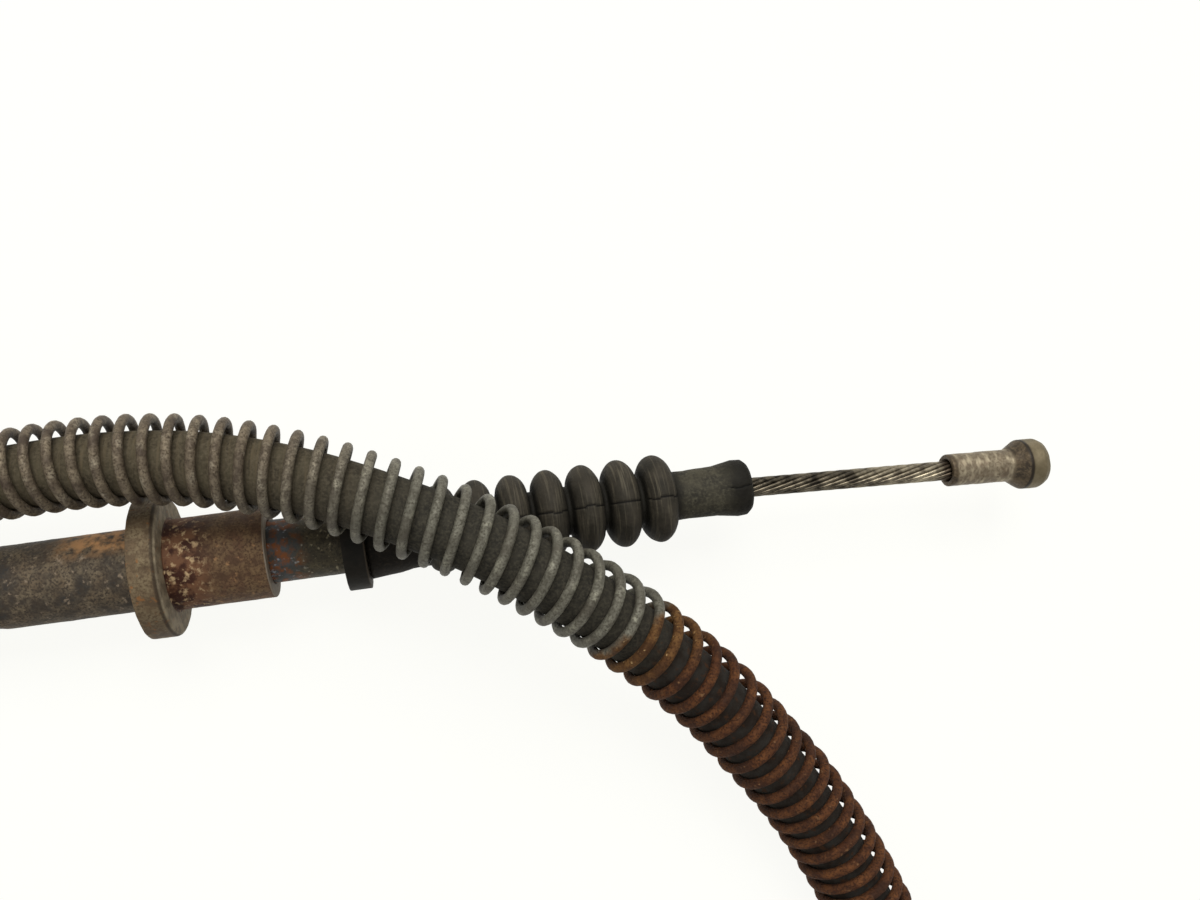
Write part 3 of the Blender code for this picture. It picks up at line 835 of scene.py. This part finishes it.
def bellows_outline():
    """Neck, convolutions and nose outside, and the hollow of the same wall inside."""
    valley_start = FIRST_CROWN - BELLOWS_PITCH / 2
    bellows_end = valley_start + BELLOWS_PITCH * BELLOWS_COUNT
    outer = [
        Vector((NECK_START, NECK_R)), Vector((NECK_STEP, NECK_STEP_R)),
        Vector((valley_start - 2.5 * MM, NECK_END_R + 0.05 * MM)),
    ]
    inner = []
    for index in range(BELLOWS_COUNT):
        for k in range(CROWN_SAMPLES):
            t = k / CROWN_SAMPLES
            along = valley_start + BELLOWS_PITCH * (index + t)
            low_r = NECK_END_R if index == 0 and t < 0.5 else VALLEY_R
            swell = (1.0 - min(1.0, abs(2.0 * t - 1.0) / CROWN_SHARE) ** 2) ** CROWN_POWER
            radius = low_r + (CROWN_R - low_r) * swell
            outer.append(Vector((along, radius)))
            if index > 0 or t > 0.3:
                inner.append(Vector((along, max(radius - BELLOWS_WALL, LEAST_HOLLOW_R))))
    outer += [
        Vector((bellows_end, NOSE_R)), Vector((NOSE_START + 1.0 * MM, NOSE_R - 0.05 * MM)),
        Vector((NOSE_START + 5.5 * MM, NOSE_R + 0.1 * MM)),
        Vector((NOSE_END - 2.0 * MM, NOSE_TIP_R)),
        Vector((NOSE_END - 0.7 * MM, NOSE_TIP_R - 0.1 * MM)),
        Vector((NOSE_END - 0.15 * MM, NOSE_TIP_R - 0.6 * MM)),
        Vector((NOSE_END, NOSE_BORE_R + 0.5 * MM)), Vector((NOSE_END - 0.2 * MM, NOSE_BORE_R)),
        Vector((bellows_end + 0.5 * MM, NOSE_BORE_R)),
    ]
    neck = [
        Vector((NECK_STEP + 0.6 * MM, 4.3 * MM)), Vector((NECK_STEP, GUIDE_R + 0.1 * MM)),
        Vector((NECK_START, GUIDE_R + 0.1 * MM)),
    ]
    return refined(outer + list(reversed(inner)) + neck, 0.5 * MM)


def bellows_shape(letter):
    """The bellows with its small dents, its bow and the split along its parting line."""
    shape = turned(bellows_outline(), BELLOWS_STEPS)
    split_layer = shape.verts.layers.float.new("split")
    pitted(shape, 0.05 * MM, 3.0 * MM, ord(letter) + 1.5)
    step_angle = 2.0 * math.pi / BELLOWS_STEPS
    for vert in shape.verts:
        along, side, up = vert.co
        radius = math.hypot(side, up)
        angle = math.atan2(side, up)
        wobble = 2.0 * noise.noise(Vector((along / CRACK_WOBBLE, 4.0, 0.0)))
        near = abs(angle / step_angle - CRACK_STEP - round(wobble))
        on_crown = CRACK_REACH[0] < along < CRACK_REACH[1] and radius > VALLEY_R + 0.8 * MM
        on_nose = along > NOSE_END - 3.5 * MM and radius > 3.0 * MM
        if near < 0.5 and (on_crown or on_nose):
            vert[split_layer] = 1.0
            shrink = 1.0 - CRACK_DEPTH / radius
            vert.co.y *= shrink
            vert.co.z *= shrink
    for vert in shape.verts:
        t = min(1.0, max(0.0, (vert.co.x - BOW_START) / BOW_REACH))
        vert.co.y += BOW[letter] * t * t * (3.0 - 2.0 * t)
    return shape


def boot_rubber():
    """Moulded rubber, weathered: brown-black, with faint chalky streaks across the crowns,
    painted shade in the valleys, a painted shadow on the neck, a dusty nose and the split's
    black line."""
    material, tree, shader = new_finish("weathered_moulded_rubber", 0.0, 0.7, 0.14)
    spot, along = spot_along(tree)
    streaks = patches(tree, spot, 7.0 * MM, 0.5, 0.7, stretch=(22.0, 1.0, 1.0), detail=3.0)
    cloud = patches(tree, spot, 3.0 * MM, 0.36, 0.66, shift=2.5)
    grain = patches(tree, spot, 0.5 * MM, 0.46, 0.7, shift=6.5)
    split = add(tree, "ShaderNodeAttribute", attribute_name="split").outputs["Fac"]
    # painted shade: the valleys and the foot of each crown darker than the crowns
    valley_shade = layered(tree, "#171510", (cloud, "#211f19"))
    crown = layered(tree, "#2b2821", (cloud, "#3b362d"), (streaks, "#534d40"))
    chalk = layered(tree, "#26241f", (cloud, "#433f33"), (grain, "#504c3e"))
    # painted shadow: the neck made near black
    neck = layered(tree, "#120f0a", (cloud, "#1d1811"), (grain, "#262017"))
    dusty = band(tree, along, (77.0 * MM, 79.0 * MM), (87.0 * MM, 83.0 * MM))
    # below the crowns the painted valley shade; before the first crown the painted shadow on the
    # neck
    colour = layered(
        tree, valley_shade, (band(tree, off_axis(tree, spot), (4.6 * MM, 6.0 * MM)), crown),
        (band(tree, along, (40.5 * MM, 38.5 * MM)), neck), (dusty, chalk), (split, "#0b0a09"),
    )
    dressed(tree, shader, colour, grain, 0.03 * MM)
    return material


boot_finish = boot_rubber()
for letter, place in END_PLACES.items():
    bellows = new_piece(
        f"rubber_bellows_{letter}", placed_mesh("bellows", bellows_shape(letter), place),
        boot_finish, "boot_rubber", None, f"boot_{letter}",
    )
    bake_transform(bellows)

# -------------------------------------------------------------------- 9. the nipples
# The nipple is die-cast round the strand: a round shank with a countersunk mouth, a
# conical shoulder that pulls in the lever's slot, and a barrel head, with painted highlights
# in bands round the shank and a darker band on the cone behind the head.
SHANK_END = 128.7 * MM
HEAD_START = 130.7 * MM
NIPPLE_END = 134.2 * MM
SHANK_R = 2.46 * MM
HEAD_R = 3.8 * MM
NIPPLE_BORE_R = 1.58 * MM


def nipple_outline():
    bore_end = NIPPLE_START + NIPPLE_BORE_DEPTH
    outline = [
        (NIPPLE_START, SHANK_R - 0.15 * MM), (NIPPLE_START + 0.15 * MM, SHANK_R),
        (SHANK_END, SHANK_R), (HEAD_START, HEAD_R), (NIPPLE_END - 1.3 * MM, HEAD_R),
        (NIPPLE_END - 0.5 * MM, HEAD_R - 0.45 * MM), (NIPPLE_END, HEAD_R - 1.3 * MM),
        (NIPPLE_END, 0.0), (bore_end, 0.0), (bore_end, NIPPLE_BORE_R),
        (NIPPLE_START + 0.4 * MM, NIPPLE_BORE_R), (NIPPLE_START, NIPPLE_BORE_R + 0.25 * MM),
    ]
    return refined(softened(outline, 0.15 * MM), 0.3 * MM)


def nipple_metal():
    """Die-cast nipple, plated once: warm grey with painted highlights in bands round the
    shank, a dark band on the cone behind the head and at the mouth, and a smooth olive head."""
    material, tree, shader = new_finish("worn_die_casting", 0.5, 0.52, 0.4)
    spot, along = spot_along(tree)
    cloud = patches(tree, spot, 1.8 * MM, 0.36, 0.66)
    grain = patches(tree, spot, 0.4 * MM, 0.46, 0.66, shift=7.0)
    # painted highlights: bright bands round the shank
    painted_shine = patches(
        tree, spot, 1.6 * MM, 0.5, 0.85, shift=5.0, stretch=(2.4, 1.0, 1.0), detail=1.0,
    )
    ruddy = patches(tree, spot, 1.6 * MM, 0.54, 0.72, shift=11.0)
    shank = layered(
        tree, "#6f6250", (cloud, "#968a72"), (ruddy, "#74604d"), (grain, "#6b5e4a"),
        (painted_shine, "#beb194"),
    )
    # a dark brown band, laid at the mouth and on the cone behind the head
    grime = layered(tree, "#3a3126", (cloud, "#5a4c39"), (grain, "#665843"))
    head = layered(tree, "#6a5f47", (cloud, "#7e7259"))
    edge_line = band(
        tree, along, (HEAD_START - 0.2 * MM, HEAD_START),
        (HEAD_START + 0.5 * MM, HEAD_START + 0.2 * MM),
    )
    colour = layered(
        tree, shank, (band(tree, along, (NIPPLE_START + 1.1 * MM, NIPPLE_START + 0.5 * MM)), grime),
        (band(tree, along, (SHANK_END - 0.3 * MM, SHANK_END + 0.5 * MM)), grime),
        (band(tree, along, (HEAD_START + 0.1 * MM, HEAD_START + 0.6 * MM)), head),
        (edge_line, "#2c251b"),
    )
    dressed(tree, shader, colour, cloud, 0.05 * MM)
    return material


nipple_finish = nipple_metal()
for letter, place in END_PLACES.items():
    body = turned(nipple_outline(), 96)
    pitted(body, 0.05 * MM, 1.4 * MM, ord(letter) + 2.5)
    turn = (
        Matrix.Translation((BEND_START, 0.0, 0.0))
        @ Matrix.Rotation(BENDS[letter], 4, "Z")
        @ Matrix.Translation((-BEND_START, 0.0, 0.0))
    )
    new_piece(
        f"cast_nipple_{letter}", placed_mesh("nipple", body, place @ turn), nipple_finish,
        "nipple_steel", f"inner_{letter}", f"nipple_{letter}",
    )

# --------------------------------------------------------------- 10. stage and camera
# A white table under soft daylight: a large soft light overhead towards the back, a
# weaker one from the front, and a pale surround.
CAMERA_PLACE = Vector((-26.95, -4.31, 164.9)) * MM - ORIGIN
PHOTO_WIDTH = 1200.0                # pixels
CROP_SHIFT = (175.0, 28.0)          # pixels: the photo is an off-centre crop of a wider one
FLOOR_SIZE = 4.0
FLOOR_DROP = 0.05 * MM
FLOOR_GLOW = 1.07
GLOW_SHARE = 0.86                   # of the floor's white; the rest is lit and keeps the shadow
SKY_GLOW = 0.42                     # as the pieces see it; the camera sees a white of 1

floor_mesh = bpy.data.meshes.new("floor")
floor_shape = bmesh.new()
bmesh.ops.create_grid(floor_shape, x_segments=1, y_segments=1, size=FLOOR_SIZE / 2)
floor_shape.to_mesh(floor_mesh)
floor_shape.free()
floor = bpy.data.objects.new("floor", floor_mesh)
floor.location.z = -FLOOR_DROP
bpy.context.scene.collection.objects.link(floor)
floor_finish = bpy.data.materials.new("white_table")
floor_finish.use_nodes = True
floor_tree = floor_finish.node_tree
floor_tree.nodes.clear()
rays = add(floor_tree, "ShaderNodeLightPath")
seen = add(floor_tree, "ShaderNodeMath", {
    0: rays.outputs["Is Camera Ray"], 1: rays.outputs["Is Glossy Ray"],
}, operation="MAXIMUM").outputs[0]
seen = add(floor_tree, "ShaderNodeMath", {
    0: seen, 1: rays.outputs["Is Transmission Ray"],
}, operation="MAXIMUM").outputs[0]
lit = add(floor_tree, "ShaderNodeMath", {0: seen, 1: GLOW_SHARE}, operation="MULTIPLY").outputs[0]
paper = add(floor_tree, "ShaderNodeBsdfDiffuse", {"Color": hex_colour("#d2d0c8")})
glow = add(floor_tree, "ShaderNodeEmission", {
    "Color": hex_colour("#fffffb"), "Strength": FLOOR_GLOW,
})
both = add(floor_tree, "ShaderNodeMixShader", {0: lit, 1: paper.outputs[0], 2: glow.outputs[0]})
add(floor_tree, "ShaderNodeOutputMaterial", {"Surface": both.outputs[0]})
floor_mesh.materials.append(floor_finish)

world = bpy.data.worlds.new("pale_room")
bpy.context.scene.world = world
world.use_nodes = True
world_tree = world.node_tree
world_tree.nodes.clear()
rays = add(world_tree, "ShaderNodeLightPath")
seen = add(world_tree, "ShaderNodeMath", {
    0: rays.outputs["Is Camera Ray"], 1: rays.outputs["Is Transmission Ray"],
}, operation="MAXIMUM").outputs[0]
strength = add(world_tree, "ShaderNodeMapRange", {
    "Value": seen, "To Min": SKY_GLOW, "To Max": 1.0,
}).outputs[0]
sky = add(world_tree, "ShaderNodeBackground", {
    "Color": hex_colour("#ffffff"), "Strength": strength,
})
add(world_tree, "ShaderNodeOutputWorld", {"Surface": sky.outputs[0]})


def soft_light(name, place, aim, size, watts):
    """A square soft light, turned to look at a point."""
    lamp = bpy.data.lights.new(name, "AREA")
    lamp.size = size
    lamp.energy = watts
    light = bpy.data.objects.new(name, lamp)
    light.location = place
    towards = Vector(aim) - Vector(place)
    light.rotation_euler = towards.to_track_quat("-Z", "Y").to_euler()
    bpy.context.scene.collection.objects.link(light)


soft_light("window", place=(0.0, 0.70, 0.80), aim=(0.0, 0.05, 0.0), size=0.6, watts=9.0)
soft_light("fill", place=(-0.5, -0.6, 0.8), aim=(0.0, 0.0, 0.0), size=0.8, watts=1.5)

camera_data = bpy.data.cameras.new("camera")
camera_data.sensor_width = 36.0
camera_data.sensor_fit = "HORIZONTAL"
camera_data.lens = 30.0
camera_data.shift_x = CROP_SHIFT[0] / PHOTO_WIDTH
camera_data.shift_y = CROP_SHIFT[1] / PHOTO_WIDTH
camera_data.clip_start = 0.01
camera = bpy.data.objects.new("camera", camera_data)
camera.location = CAMERA_PLACE
bpy.context.scene.collection.objects.link(camera)
bpy.context.scene.camera = camera
bpy.context.scene.view_settings.view_transform = "Standard"
